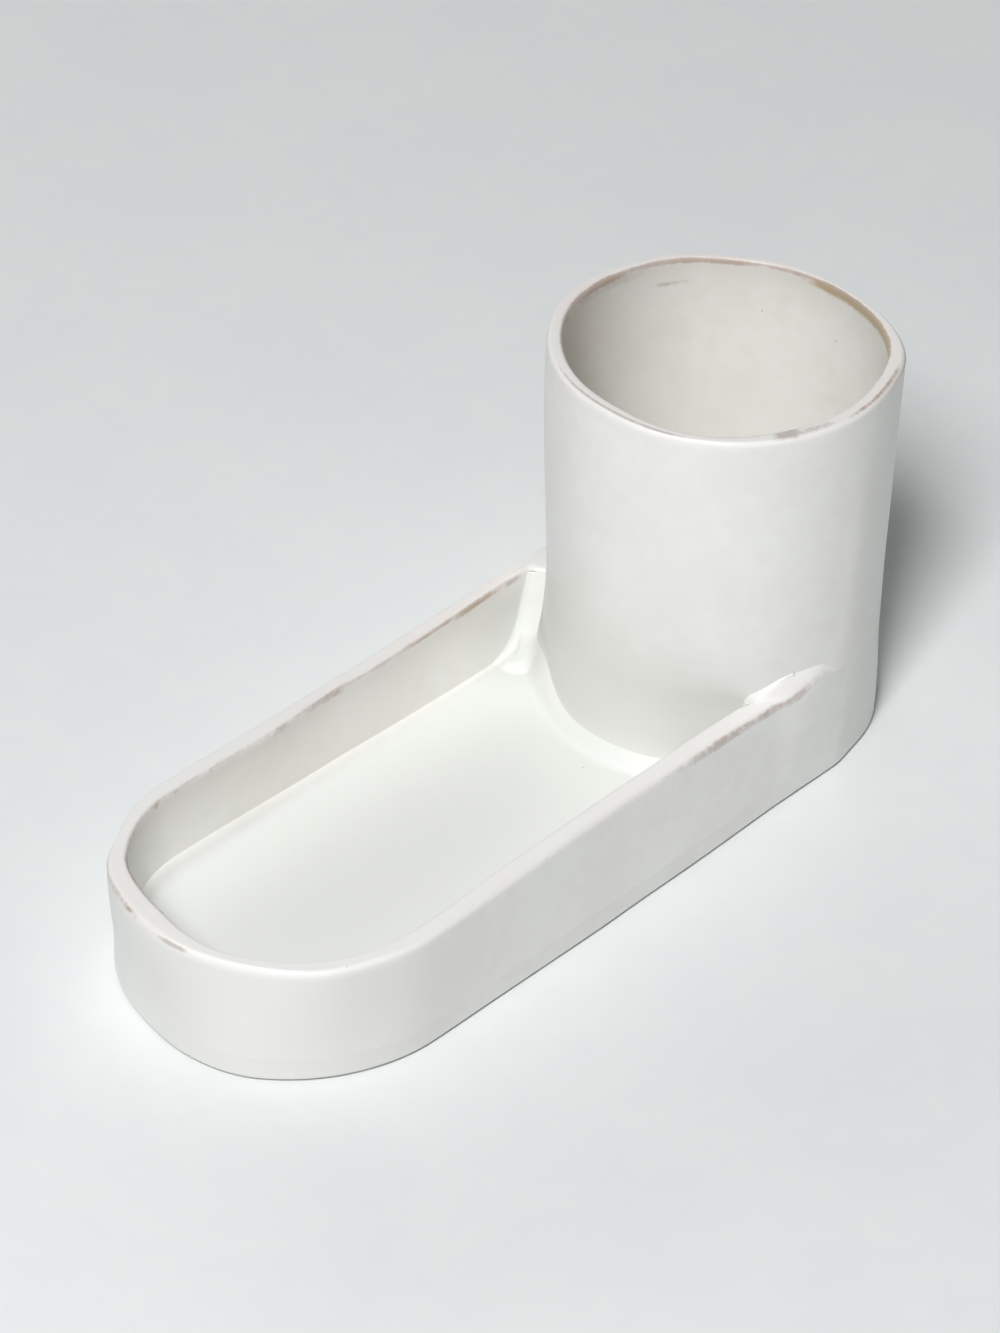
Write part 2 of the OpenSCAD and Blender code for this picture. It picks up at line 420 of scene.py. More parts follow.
def left_by_hand(points):
    """The plain points, moved out from the middle line and from the cup's axis, up, and along the wall."""
    at = Places(points)
    uneven = ripple(points)
    moved = points.copy()
    moved[:, :2] += at.outward * wall_shift(at, uneven)[:, None]
    moved[:, :2] += at.cup_outward * cup_shift(at, uneven)[:, None]
    moved[:, 2] += lift(at)
    at_corner_top = at.share(bell_gap=(0, 2), bell_cup_angle=(121, 10), z=(12, TRAY_TOP, 34, 60))
    moved[:, 0] += DRAWN_ALONG * at_corner_top
    return moved


# Marks in the glaze and painted shade, worked out at the plain points

# Where the glaze breaks on the rims: kind, start and end round the rim, start and end over the lip,
# and strength. On the cup the first two are angles, on the tray they are places along the outline.
CUP_BREAKS = [
    ("mauve", 99, 135, -3.2, -1.3, 0.7), ("mauve", 66, 104, -5.5, -2.0, 0.42),
    ("brown", 76, 101, -3.8, -1.5, 0.85), ("mauve", 58, 79, -3.3, -1.1, 0.5),
    ("mauve", 51, 65, -8.9, -7.6, 0.65), ("brown", 29, 60, -3.2, -1.5, 0.8),
    ("brown", 8, 31, -2.9, -1.7, 0.55), ("ochre", -54, 8, -4.3, -1.4, 1.0),
    ("ochre", -68, -50, -3.3, -1.8, 0.7), ("mauve", 150, 207, 0.4, 1.3, 0.7),
    ("mauve", 207, 234, -1.6, -0.4, 0.5), ("mauve", 234, 244, -1.7, 1.6, 0.85),
    ("mauve", 242, 258, -0.6, 1.3, 0.5), ("brown", 265, 301, 0.5, 1.6, 0.68),
    ("mauve", 298, 350, 2.1, 3.6, 0.55)]
TRAY_BREAKS = [(kind, side(start), side(end), *rest) for side, kind, start, end, *rest in (
    (tray_end, "mauve", 163, 139, 1.9, 3.3, 0.4), (tray_end, "brown", 159.5, 157, 2.3, 3.3, 0.7),
    (tray_end, "mauve", 186, 175, 2.5, 3.7, 0.75), (tray_end, "mauve", 165, 127, -4.2, -1.9, 0.75),
    (tray_end, "mauve", 118, 115, -4.0, -2.6, 0.6), (tray_end, "mauve", 100, 98, -4.0, -2.5, 0.6),
    (back, "mauve", -68.5, -67, -3.8, -2.6, 0.6), (back, "mauve", -57.5, -56, -3.9, -2.6, 0.6),
    (back, "mauve", -38, -31, -4.4, -2.3, 0.55), (back, "mauve", -26, -14, -4.5, -2.3, 0.5),
    (back, "brown", 9, 25, -3.6, -2.6, 0.65), (back, "brown", 23, 38, -4.3, -2.5, 0.75),
    (back, "mauve", 41, 46, -4.4, -2.8, 0.6), (front, "mauve", 60, 16, 2.2, 4.6, 0.62),
    (front, "brown", 52, 31, 2.7, 3.6, 0.42))]

# A break fades at each end over this share of its length, and no farther than this round and over the rim
BREAK_FADE, FADE_ROUND, FADE_OVER = 0.35, 8, 2.5

# How pink the thin glaze over a lip is, along the tray's outline and round the cup
TRAY_PINK = line(front={69: 0.3, 30: 0.35, -20: 0.2, -60: 0.1}, tray_end={215: 0.0, 155: 0.3, 110: 0.05},
                 back={-60: 0.1, -20: 0.25, 15: 0.65, 60: 0.5}, cup_end={0: 0.3})
CUP_PINK = [(-150, 0.3), (-90, 0.35), (-30, 0.6), (20, 0.6), (80, 0.8), (130, 0.6), (170, 0.3)]

# How far the glaze is worn off, with painted shade, along the inner and the outer edge of each rim
TRAY_WEAR_AND_SHADE_INNER = line(front={60: 0.35, 0: 0.3}, tray_end={205: 0.35, 155: 0.9, 115: 0.6},
                       back={-40: 0.45, 20: 0.7, 60: 0.25}, cup_end={0: 0.2})
TRAY_WEAR_AND_SHADE_OUTER = line(front={50: 0.35, 20: 0.3, -40: 0.2}, tray_end={225: 0.0, 170: 0.3, 140: 0.5},
                       back={-40: 0.45, 30: 0.45}, cup_end={0: 0.2})
CUP_WEAR_AND_SHADE_INNER = [(-150, 0.35), (-110, 0.5), (-60, 0.5), (-10, 0.8), (60, 0.9), (120, 0.95), (165, 0.6)]
CUP_WEAR_AND_SHADE_OUTER = [(-150, 0.15), (-80, 0.25), (-40, 0.45), (20, 0.4), (80, 0.35), (130, 0.45), (175, 0.25)]

# How far past a lip's inner and outer edge the wear and painted shade are strongest, and how wide they are
WEAR_AND_SHADE_INSIDE, WEAR_AND_SHADE_OUTSIDE, WEAR_AND_SHADE_WIDTH = 0.3, 0.6, 0.9

# The thin glaze fades out past the edges of a lip. Inner sides are darker near the rim, as thinner glaze and
# as painted shade under the rim.
THIN_FADE, INNER_SIDE_FADE = 2.6, 1.5
CUP_FADES_DOWN, TRAY_FADES_DOWN = 5, 8

# Round the tray's end shade is painted on the outer side from here to here, and the glaze is glossy over the
# lip
SIDE_SHADE_END = (tray_end(262), tray_end(170), 15)
GLOSSY_END = (tray_end(232), tray_end(193), 4)

# Shade is painted on the cup's inner wall on the left: middle and width
INNER_LEFT_SHADE_TURN = (122, 42)

# Shade is painted into the glaze's colour in the back corner, and less of it, by this share, along the cup's
# foot
CORNER_SHADE_WIDTH, FOOT_SHADE_SHARE = 11, 0.3

CUP_THICKNESS = END_R - CUP_IN_R
TRAY_THICKNESS = END_R - TRAY_IN_R
ON_CUP_GAP = 0.01
ON_TRAY_FLOOR = (END_R - 5, END_R - 9)


def over_lip(across, thickness, below):
    """How far over a rim a point lies: 0 on the middle of its top, less than 0 down the inner side."""
    middle = across - thickness / 2
    return np.sign(middle) * (np.abs(middle) + below)


def stretch(value, start, end, fade):
    """1 between two places, falling to a half at each end and to 0 within the fade past it."""
    return window(value, start - fade, start + fade, end - fade, end + fade)


def breaks(kind, rim, place, over):
    """The strongest of a kind's marks at each point, as amounts between 0 and 1."""
    amount = 0 * over
    for mark_kind, start, end, lip_start, lip_end, strength in rim:
        if mark_kind == kind:
            round_rim = stretch(place, start, end, min(BREAK_FADE * (end - start), FADE_ROUND))
            lip_fade = min(BREAK_FADE * (lip_end - lip_start), FADE_OVER)
            across_lip = stretch(over, lip_start, lip_end, lip_fade)
            amount = np.maximum(amount, strength * round_rim * across_lip)
    return amount


def worn_and_shaded_edges(over, half, place, inner_line, outer_line, period):
    """Wear and painted shade as two bells, one along each edge of a lip, times the amounts that are named
    round the rim.
    """
    inner = bump(over, -half - WEAR_AND_SHADE_INSIDE, WEAR_AND_SHADE_WIDTH) * wander(place, inner_line, period)
    return inner + bump(over, half + WEAR_AND_SHADE_OUTSIDE, WEAR_AND_SHADE_WIDTH) * wander(place, outer_line, period)


def painted_corner_shade_mask(at):
    """Where shade is painted: a bell about the back corner, or a weaker band beside the cup's foot, both
    fading out upwards.
    """
    corner = bump(np.hypot(at.x - MOUND_X, at.y - MOUND_Y), 0, CORNER_SHADE_WIDTH)
    corner = corner * at.share(z=(27, 20), reach=(END_R - 1, END_R - 4))
    foot = at.share(bell_gap=(2, 5), x=(CUP_X - 10, CUP_X - 25), z=(20, 12), reach=ON_TRAY_FLOOR)
    return np.maximum(corner, FOOT_SHADE_SHARE * foot)


def glaze_marks(points):
    """Amounts between 0 and 1 at each point: where the glaze is thin, worn, thick or broken, and where shade
    is painted on it.

    Most follow the distance over the lip of the point's own rim, the cup's or the tray's.
    """
    at = Places(points)
    on_cup = at.gap < ON_CUP_GAP
    web_top = web_rise(at.gap, FRONT_WEB_R) * (1 - at.behind) + web_rise(at.gap, BACK_WEB_R) * at.behind
    below = np.clip(np.where(on_cup, CUP_TOP, TRAY_TOP + web_top) - at.z, 0, None)
    over_cup = over_lip(at.cup_radius - CUP_IN_R, CUP_THICKNESS, below)
    over_tray = over_lip(at.reach - TRAY_IN_R, TRAY_THICKNESS, below)
    over = np.where(on_cup, over_cup, over_tray)
    half = np.where(on_cup, CUP_THICKNESS, TRAY_THICKNESS) / 2

    thin = smooth(np.abs(over), half + THIN_FADE, half)
    thin = thin * np.where(on_cup | (at.y < 0), 1, at.share(gap=(0.5, 5)))
    glossy = stretch(at.along, *GLOSSY_END) * smooth(over_tray, 0, 1)
    inner_side = smooth(-over, half, half + INNER_SIDE_FADE)
    inner_side = inner_side * np.where(on_cup, 1, at.share(gap=(2, 7), z=(FLOOR_Z + 1, COIL_TOP)))
    pink = np.where(on_cup, wander(at.cup_angle, CUP_PINK, 360), wander(at.along, TRAY_PINK, ALL_ROUND))
    # Wear and painted shade along both edges of the lips
    worn_and_shaded_cup = worn_and_shaded_edges(over, half, at.cup_angle, CUP_WEAR_AND_SHADE_INNER, CUP_WEAR_AND_SHADE_OUTER, 360)
    worn_and_shaded_tray = worn_and_shaded_edges(over, half, at.along, TRAY_WEAR_AND_SHADE_INNER, TRAY_WEAR_AND_SHADE_OUTER, ALL_ROUND)

    # Painted shade on the cup's inner wall, to the left
    inner_left_painted_shade = at.share(bell_cup_angle=INNER_LEFT_SHADE_TURN, cup_radius=(CUP_IN_R - CUP_COIL_R, CUP_IN_R - 1)) * on_cup
    # Painted shade low on the cup's outer side, away from its joints, and on the outer side round the tray's
    # end
    off_joint = np.maximum(at.share(x=(CUP_X, CUP_X + 15)), smooth(END_R - np.abs(at.y), 0.2, 4))
    cup_low = on_cup * at.share(z=(48, 18)) * smooth(over_cup, 0, half) * off_joint
    end_side = stretch(at.along, *SIDE_SHADE_END) * smooth(over_tray, half, half + 3)
    marks = {"thin_glaze": thin,
             "worn_and_shaded": np.where(on_cup, worn_and_shaded_cup, worn_and_shaded_tray * at.share(gap=(0, 5))),
             # Painted shade in the back corner and along the cup's foot
             "painted_corner_shade": painted_corner_shade_mask(at),
             "painted_side_shade": np.maximum(cup_low, end_side),
             "inner_side": inner_side,
             "pink": pink,
             "dry": thin * (1 - glossy * ~on_cup),
             # Darker down from the rim on inner sides: thinner glaze and painted shade under the rim
             "under_rim_glaze_and_shade": inner_side * np.exp(-below / np.where(on_cup, CUP_FADES_DOWN, TRAY_FADES_DOWN)),
             "inner_left_painted_shade": inner_side * inner_left_painted_shade,
             "thick_glaze": at.share(reach=ON_TRAY_FLOOR, bell_z=(FLOOR_Z, 6))}
    for kind in ("brown", "mauve", "ochre"):
        turns = [breaks(kind, CUP_BREAKS, at.cup_angle + turn, over_cup) for turn in (-360, 0, 360)]
        marks[kind] = np.where(on_cup, np.max(turns, axis=0), breaks(kind, TRAY_BREAKS, at.along, over_tray))
    return marks


# Grids and meshes

def run_of(start, end, step=STEP):
    """Points of a section from one place to another, evenly spaced, with both ends."""
    start, end = np.array(start, float), np.array(end, float)
    count = max(int(np.ceil(np.linalg.norm(end - start) / step)), 1) + 1
    return start + (end - start) * np.linspace(0, 1, count)[:, None]


def arc_of(centre, radius, start, end, steps=ARC_STEPS):
    """Points of a section on a circle, from one angle to another in degrees."""
    turn = np.radians(np.linspace(start, end, steps + 1))
    return np.array(centre) + radius * np.stack([np.cos(turn), np.sin(turn)], axis=1)


def section_of(*runs):
    """Runs of section points in one list, each place once."""
    points = np.concatenate([np.atleast_2d(np.array(run, float)) for run in runs])
    apart = np.linalg.norm(np.diff(points, axis=0), axis=1) > TINY
    return points[np.concatenate([[True], apart])]


def straight_path(x_from, x_to, side, step=STEP):
    """Stations along a straight side: points of the middle line and the direction out from it."""
    x = run_of([x_from], [x_to], step)[:, 0]
    return np.stack([x, 0 * x], axis=1), np.tile([0.0, side], (len(x), 1))


def round_path(x, start, end, steps=END_STEPS):
    """Stations round an end, which all turn about one point of the middle line."""
    turn = np.radians(np.linspace(start, end, steps + 1))
    return np.tile([x, 0.0], (len(turn), 1)), np.stack([np.cos(turn), np.sin(turn)], axis=1)


def path_of(*parts):
    """Stretches of stations in one path, each without its first, which repeats the last before."""
    first, *others = parts
    return tuple(np.concatenate([first[which]] + [part[which][1:] for part in others]) for which in (0, 1))


def tray_path(x_end):
    """Stations down the front, round the tray's end and back, as far as x_end on both sides."""
    return path_of(straight_path(x_end, TRAY_X, -1.0), round_path(TRAY_X, 270, 90),
                   straight_path(TRAY_X, x_end, 1.0))


def once_round(path):
    """A closed path without its last station, which repeats its first."""
    middle, outward = path
    return middle[:-1], outward[:-1]


def outline_path():
    """Stations all round the holder, from the cup's front."""
    return once_round(path_of(tray_path(CUP_X), round_path(CUP_X, 90, -90)))


def cup_path():
    """Stations all round the cup, twice as many as round an end of the holder."""
    return once_round(round_path(CUP_X, 0, 360, 2 * END_STEPS))


def carry(section, path):
    """A section of (distance out, height) carried along a path: middle plus outward times distance."""
    middle, outward = path
    flat = middle[:, None, :] + outward[:, None, :] * section[None, :, :1]
    height = np.broadcast_to(section[None, :, 1:], flat.shape[:2] + (1,))
    return np.concatenate([flat, height], axis=2)


def numbered(grid):
    """The vertex numbers of a grid, row after row."""
    return np.arange(grid.shape[0] * grid.shape[1]).reshape(grid.shape[:2])


def strip_faces(rows, wrap_across=False):
    """Four-sided faces between neighbouring rows of vertex numbers."""
    if wrap_across:
        rows = np.concatenate([rows, rows[:, :1]], axis=1)
    corners = [rows[:-1, :-1], rows[1:, :-1], rows[1:, 1:], rows[:-1, 1:]]
    return np.stack([corner.ravel() for corner in corners], axis=1)


def closed_along(grid, wrap_across=False):
    """Faces of a grid whose last row meets its first: a wheel, or a tube bent to a ring."""
    rows = numbered(grid)
    return strip_faces(np.concatenate([rows, rows[:1]]), wrap_across)


def open_along(grid):
    """Faces of a tube with closed sections, and one face over each of its ends."""
    rows = numbered(grid)
    return strip_faces(rows, wrap_across=True), [rows[0], rows[-1][::-1]]


def merge_points(points, faces):
    """Vertices in the same place made one. A four-sided face that loses a corner becomes a triangle."""
    places, first, index = np.unique(points.round(4), axis=0, return_index=True, return_inverse=True)
    index = index.reshape(-1)
    faces = index[faces]
    repeats = faces == np.roll(faces, -1, axis=1)
    whole = faces[~repeats.any(axis=1)]
    one_lost = repeats.sum(axis=1) == 1
    triangles = faces[one_lost][~repeats[one_lost]].reshape(-1, 3)
    return points[first], index, whole, triangles


def volume_inside(places, quads, triangles, ends):
    """Six times the volume in closed faces, less than 0 where they face inwards.

    It is the sum of the triple products of the triangles' corners, seen from the middle.
    """
    fans = [[face[0], face[corner], face[corner + 1]] for face in ends for corner in range(1, len(face) - 1)]
    fans = np.array(fans, int).reshape(-1, 3)
    corners = np.concatenate([quads[:, :3], quads[:, [0, 2, 3]], triangles, fans])
    a, b, c = (places - places.mean(axis=0))[corners].swapaxes(0, 1)
    return (a * np.cross(b, c)).sum()


def make_piece(name, node, material, points, faces, end_faces=(), slot="glaze"):
    """Makes a mesh of plain points moved as the hands left the clay, with the marks of its glaze."""
    places, index, quads, triangles = merge_points(points.reshape(-1, 3), faces)
    ends = [index[face] for face in end_faces]
    way = 1 if volume_inside(places, quads, triangles, ends) > 0 else -1
    all_faces = [face[::way].tolist() for face in [*quads, *triangles, *ends]]

    mesh = bpy.data.meshes.new(name)
    mesh.from_pydata((left_by_hand(places) * MM).tolist(), [], all_faces)
    for mark_name, values in glaze_marks(places).items():
        mark = mesh.attributes.new(mark_name, "FLOAT", "POINT")
        mark.data.foreach_set("value", values.astype(np.float32))
    mesh.materials.append(material)
    mesh.shade_smooth()
    mesh.set_sharp_from_angle(angle=SHARP_ANGLE)
    mesh.update()
    piece = bpy.data.objects.new(name, mesh)
    bpy.context.scene.collection.objects.link(piece)
    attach(piece, "root")
    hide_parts(node)


def unit(vectors):
    """Vectors divided by their own lengths."""
    return vectors / np.maximum(np.linalg.norm(vectors, axis=-1, keepdims=True), TINY)


def run_on(edge, inner, facing):
    """An edge carried on along its surface by SEAM_RUN and sunk by SEAM_SINK."""
    return edge + unit(edge - inner) * SEAM_RUN - facing * SEAM_SINK


def thicken(sheet, depth):
    """A visible sheet grown into the clay behind it.

    Its edges run on into the neighbours, a copy lies behind it, and strips close the four sides. Where
    a row has shrunk to a point, its facing is that of the row before.
    """
    normal = np.cross(np.gradient(sheet, axis=0), np.gradient(sheet, axis=1))
    lost = np.linalg.norm(normal, axis=2) < TINY
    normal = unit(normal)
    for row in range(1, len(sheet)):
        normal[row, lost[row]] = normal[row - 1, lost[row]]

    first = run_on(sheet[0], sheet[1], normal[0])
    last = run_on(sheet[-1], sheet[-2], normal[-1])
    front = np.concatenate([first[None], sheet, last[None]])
    facing = np.concatenate([normal[:1], normal, normal[-1:]])
    left = run_on(front[:, 0], front[:, 1], facing[:, 0])
    right = run_on(front[:, -1], front[:, -2], facing[:, -1])
    front = np.concatenate([left[:, None], front, right[:, None]], axis=1)
    facing = np.concatenate([facing[:, :1], facing, facing[:, -1:]], axis=1)
    back = front - facing * depth

    top = numbered(front)
    under = top + top.size
    sides = [np.stack([under[0], top[0]]), np.stack([top[-1], under[-1]]),
             np.stack([top[:, 0], under[:, 0]]), np.stack([under[:, -1], top[:, -1]])]
    faces = [strip_faces(top), strip_faces(under)[:, ::-1]] + [strip_faces(side) for side in sides]
    return np.concatenate([front.reshape(-1, 3), back.reshape(-1, 3)]), np.concatenate(faces)


# The holder's pieces

def base_slab(glaze):
    """Section from the middle line over the floor, down the side and back under, carried all round."""
    top = run_of([0, FLOOR_Z], [END_R - BURIED, FLOOR_Z])
    side = run_of([END_R, SEAM_Z], [END_R, UNDERSIDE_Z + SLAB_EDGE_R])
    edge = arc_of([END_R - SLAB_EDGE_R, UNDERSIDE_Z + SLAB_EDGE_R], SLAB_EDGE_R, 0, -90)
    under = run_of([END_R - SLAB_EDGE_R, UNDERSIDE_Z], [0, UNDERSIDE_Z], 4 * STEP)
    grid = carry(section_of(top, [END_R - SEAM_SINK, FLOOR_Z], side, edge, under), outline_path())
    make_piece("slab", "base_slab", glaze, grid, closed_along(grid))


def foot_ring(clay):
    """A flat ring with softened lower edges, whose top is buried in the slab."""
    inner = FOOT_OUT_R - FOOT_W
    top = UNDERSIDE_Z + BURIED
    section = section_of([FOOT_OUT_R, top], run_of([FOOT_OUT_R, UNDERSIDE_Z], [FOOT_OUT_R, FOOT_EDGE_R]),
                         arc_of([FOOT_OUT_R - FOOT_EDGE_R, FOOT_EDGE_R], FOOT_EDGE_R, 0, -90, 5),
                         run_of([FOOT_OUT_R - FOOT_EDGE_R, 0], [inner + FOOT_EDGE_R, 0]),
                         arc_of([inner + FOOT_EDGE_R, FOOT_EDGE_R], FOOT_EDGE_R, -90, -180, 5), [inner, top])
    grid = carry(section, outline_path())
    make_piece("foot", "foot_ring", clay, grid, closed_along(grid, wrap_across=True), slot="bare_clay")


def wall_section(in_r, top_z, lip_r, coil_r):
    """A standing wall: outer side, rounded lip, inner side down to its coil, and a buried bottom."""
    coil_z = FLOOR_Z + coil_r
    fine_z = top_z - lip_r - FINE_DEPTH
    return section_of(run_of([END_R, SEAM_Z], [END_R, fine_z]),
                      run_of([END_R, fine_z], [END_R, top_z - lip_r], FINE_STEP),
                      arc_of([END_R - lip_r, top_z - lip_r], lip_r, 0, 90),
                      run_of([END_R - lip_r, top_z], [in_r + lip_r, top_z], FINE_STEP),
                      arc_of([in_r + lip_r, top_z - lip_r], lip_r, 90, 180),
                      run_of([in_r, top_z - lip_r], [in_r, fine_z], FINE_STEP),
                      run_of([in_r, fine_z], [in_r, coil_z]),
                      [in_r + SEAM_SINK, coil_z - SEAM_RUN],
                      [in_r + BURIED, coil_z - BURIED],
                      [in_r + BURIED, FLOOR_Z - BURIED],
                      [END_R - BURIED, FLOOR_Z - BURIED],
                      [END_R - SEAM_SINK, SEAM_Z - SEAM_RUN])


def tray_wall(glaze):
    """The wall's section carried down the front, round the end and back.

    Beside the cup every point stays at least BURIED short of the inside of the cup's wall, and
    under the web the rim sinks, so that only the web shows.
    """
    near_cup = CUP_X - FINE_BESIDE_CUP
    path = path_of(straight_path(CUP_X, near_cup, -1.0, FINE_STEP), tray_path(near_cup),
                   straight_path(near_cup, CUP_X, 1.0, FINE_STEP))
    grid = carry(wall_section(TRAY_IN_R, TRAY_TOP, TRAY_LIP_R, COIL_R), path)
    x, y, z = np.moveaxis(grid, 2, 0)
    gap = np.hypot(CUP_X - x, y) - END_R
    web_r = np.where(y < 0, FRONT_WEB_R, BACK_WEB_R)
    sink = RIM_SINK * smooth(web_r - gap, 0, 1) * (z > TRAY_TOP - TRAY_LIP_R + TINY)
    kept = np.sqrt(np.maximum((END_R - 3 * BURIED) ** 2 - (CUP_X - x) ** 2, 0))
    side = np.where(np.arange(len(grid)) < len(grid) / 2, -1, 1)[:, None]
    reach = np.maximum(np.abs(y), kept) - sink * (np.abs(y) > END_R - TRAY_LIP_R)
    grid[..., 1] = np.where(CUP_X - x < SIDE, side * reach, y)
    grid[..., 2] = z - sink
    make_piece("tray_side", "tray_wall", glaze, grid, *open_along(grid))


def cup_wall(glaze):
    """The wall's section turned once round the cup's axis."""
    grid = carry(wall_section(CUP_IN_R, CUP_TOP, CUP_LIP_R, CUP_COIL_R), cup_path())
    make_piece("cup", "cup_wall", glaze, grid, closed_along(grid, wrap_across=True))


def coil_section(wall_r, radius, way):
    """A pressed coil from the wall down to the floor, closed through the clay behind it.

    The wall stands at distance wall_r, and way is 1 where the coil lies outside it and -1 inside.
    """
    top = FLOOR_Z + radius
    curve = pressed_curve(radius, COIL_FLAT) * [way, 1] + [wall_r, FLOOR_Z]
    return section_of(curve, [wall_r + way * (radius + SEAM_RUN), FLOOR_Z - SEAM_SINK],
                      [wall_r + way * radius, FLOOR_Z - BURIED], [wall_r - way * BURIED, FLOOR_Z - BURIED],
                      [wall_r - way * BURIED, top], [wall_r - way * SEAM_SINK, top + SEAM_RUN])


def ball_in_corner(radius):
    """An upright round of a given radius in the corner of wall and cup, touching both.

    Its middle is a radius in from the wall and a radius out from the cup. Its turn is the angle,
    in degrees, of the line from there to the cup's axis.
    """
    y = TRAY_IN_R - radius
    x = CUP_X - np.sqrt((END_R + radius) ** 2 - y ** 2)
    return x, y, np.degrees(np.arcsin(y / (END_R + radius)))


def tray_floor_coil(glaze):
    """The coil's section carried round the foot of the tray wall, as far as the corner coils."""
    corner_x = ball_in_corner(CORNER_FOOT_R)[0]
    grid = carry(coil_section(TRAY_IN_R, COIL_R, -1), tray_path(corner_x))
    make_piece("tray_floor_smoothing", "tray_floor_coil", glaze, grid, *open_along(grid))


def cup_foot_coil(glaze):
    """The coil's section turned about the cup's axis between the corner coils."""
    turn = ball_in_corner(CORNER_FOOT_R)[2]
    grid = carry(coil_section(END_R, COIL_R, 1), round_path(CUP_X, 180 - turn, 180 + turn))
    make_piece("cup_foot_smoothing", "cup_foot_coil", glaze, grid, *open_along(grid))


def cup_floor_coil(glaze):
    """The coil's section turned once round the cup's floor."""
    grid = carry(coil_section(CUP_IN_R, CUP_COIL_R, -1), cup_path())
    make_piece("cup_floor_smoothing", "cup_floor_coil", glaze, grid, closed_along(grid, wrap_across=True))


def corner_curve(radius):
    """The round in the corner of wall and cup, from the wall to the cup, drawn towards its chord."""
    x, y, turn = ball_in_corner(radius)
    share = eased_steps(COIL_STEPS)
    angle = np.radians(90 - (90 + turn) * share)
    arc = radius * np.stack([np.cos(angle), np.sin(angle)], axis=1)
    chord = arc[:1] + (arc[-1:] - arc[:1]) * share[:, None]
    return [x, y] + arc * (1 - CORNER_FLAT) + chord * CORNER_FLAT


def corner_coil(glaze, side, corner_r, word):
    """A hollow round up the corner, whose radius shrinks quickly above its foot, then slowly to the rim.

    Each row is the corner's curve for the radius at its height. Below, the rows keep the foot's ball
    and open onto the floor with the same curve as the coils beside it.
    """
    middle_r, top_r = corner_r
    foot = pressed_curve(COIL_R, COIL_FLAT)[::-1]
    wall_top = TRAY_TOP - TRAY_LIP_R
    above_foot = run_of([CLOSE_ROWS_TO], [wall_top - COIL_TOP], STEP / 2)[:, 0]
    climb = np.concatenate([np.linspace(0, CLOSE_ROWS_TO, CLOSE_ROWS + 1)[1:], above_foot[1:]])
    slow = climb / climb[-1]
    spread = (CORNER_FOOT_R - middle_r) * np.exp(-climb / SPREAD_HEIGHT) * (1 - slow)
    radii = middle_r + (top_r - middle_r) * slow + spread
    centre = np.array(ball_in_corner(CORNER_FOOT_R)[:2])
    foot_curve = corner_curve(CORNER_FOOT_R)
    opened = (CORNER_FOOT_R - foot[:, 0]) / CORNER_FOOT_R
    rows = [centre + (foot_curve - centre) * share for share in opened] + [corner_curve(r) for r in radii]
    height = np.concatenate([FLOOR_Z + foot[:, 1], COIL_TOP + climb])
    sunk = np.concatenate([foot[:, 1], COIL_R * np.exp(-climb / SINK_HEIGHT)]) * CORNER_SUNK
    across = np.sin(np.linspace(0, np.pi, len(foot_curve))) ** 2
    z = height[:, None] - sunk[:, None] * across
    sheet = np.concatenate([np.array(rows) * [1, side], z[..., None]], axis=2)
    points, faces = thicken(sheet[:, ::-side], BURIED)
    make_piece(f"corner_smoothing_{word}", f"corner_coil_{word}", glaze, points, faces)


def rim_web(glaze, side, web_r, corner_r, word):
    """The end of the tray's rim, swept up the side of the cup.

    Rows are arcs about the cup's axis, from the web's radius out to the cup's side. Each row runs
    from the rim's inner edge, which is the wall's face and then the corner's curve, to its outer
    edge. The height is the rim's, plus the climb for the distance from the cup, less the fall of
    the rounded edge for the distance from the nearer edge. Upright skirts hang from both edges.
    """
    curve = corner_curve(corner_r[1])
    curve_radius = np.hypot(CUP_X - curve[:, 0], curve[:, 1])
    curve_angle = np.arctan2(curve[:, 1], CUP_X - curve[:, 0])
    gap = web_r * (1 - np.sin(np.linspace(0, np.pi / 2, 2 * ARC_STEPS + 1)))
    radius = END_R + gap
    on_curve = np.interp(radius, curve_radius[::-1], curve_angle[::-1])
    start = np.where(radius > curve_radius[0], np.arcsin(TRAY_IN_R / radius), on_curve)
    end = np.arcsin(np.minimum(END_R / radius, 1))

    share = eased_steps(WEB_STEPS)
    angle = start[:, None] + (end - start)[:, None] * share[None, :]
    x = CUP_X - radius[:, None] * np.cos(angle)
    y = radius[:, None] * np.sin(angle)
    from_curve = np.hypot(x[..., None] - curve[:, 0], y[..., None] - curve[:, 1]).min(axis=2)
    inner_edge = np.where(x < curve[0, 0], y - TRAY_IN_R, from_curve)
    fall = lip_drop(np.minimum(inner_edge, END_R - y), TRAY_LIP_R)
    z = TRAY_TOP + web_rise(gap, web_r)[:, None] * smooth(share, *WEB_CLIMBS) - fall
    top = np.stack([x, side * y, z], axis=2)

    foot_z = TRAY_TOP - TRAY_LIP_R
    up = np.linspace(0, 1, SKIRT_ROWS + 1)[None, :-1]

    def skirt(edge):
        flat = np.repeat(edge[:, None, :2], SKIRT_ROWS, axis=1)
        return np.concatenate([flat, (foot_z + (edge[:, 2:] - foot_z) * up)[..., None]], axis=2)

    sheet = np.concatenate([skirt(top[:, 0]), top, skirt(top[:, -1])[:, ::-1]], axis=1)
    points, faces = thicken(sheet[:, ::side], BURIED)
    make_piece(f"rim_end_{word}", f"rim_web_{word}", glaze, points, faces)


# Materials

def put(tree, socket, value):
    """Links a socket to another one, or sets it to a constant."""
    if isinstance(value, bpy.types.NodeSocket):
        tree.links.new(value, socket)
    else:
        socket.default_value = value


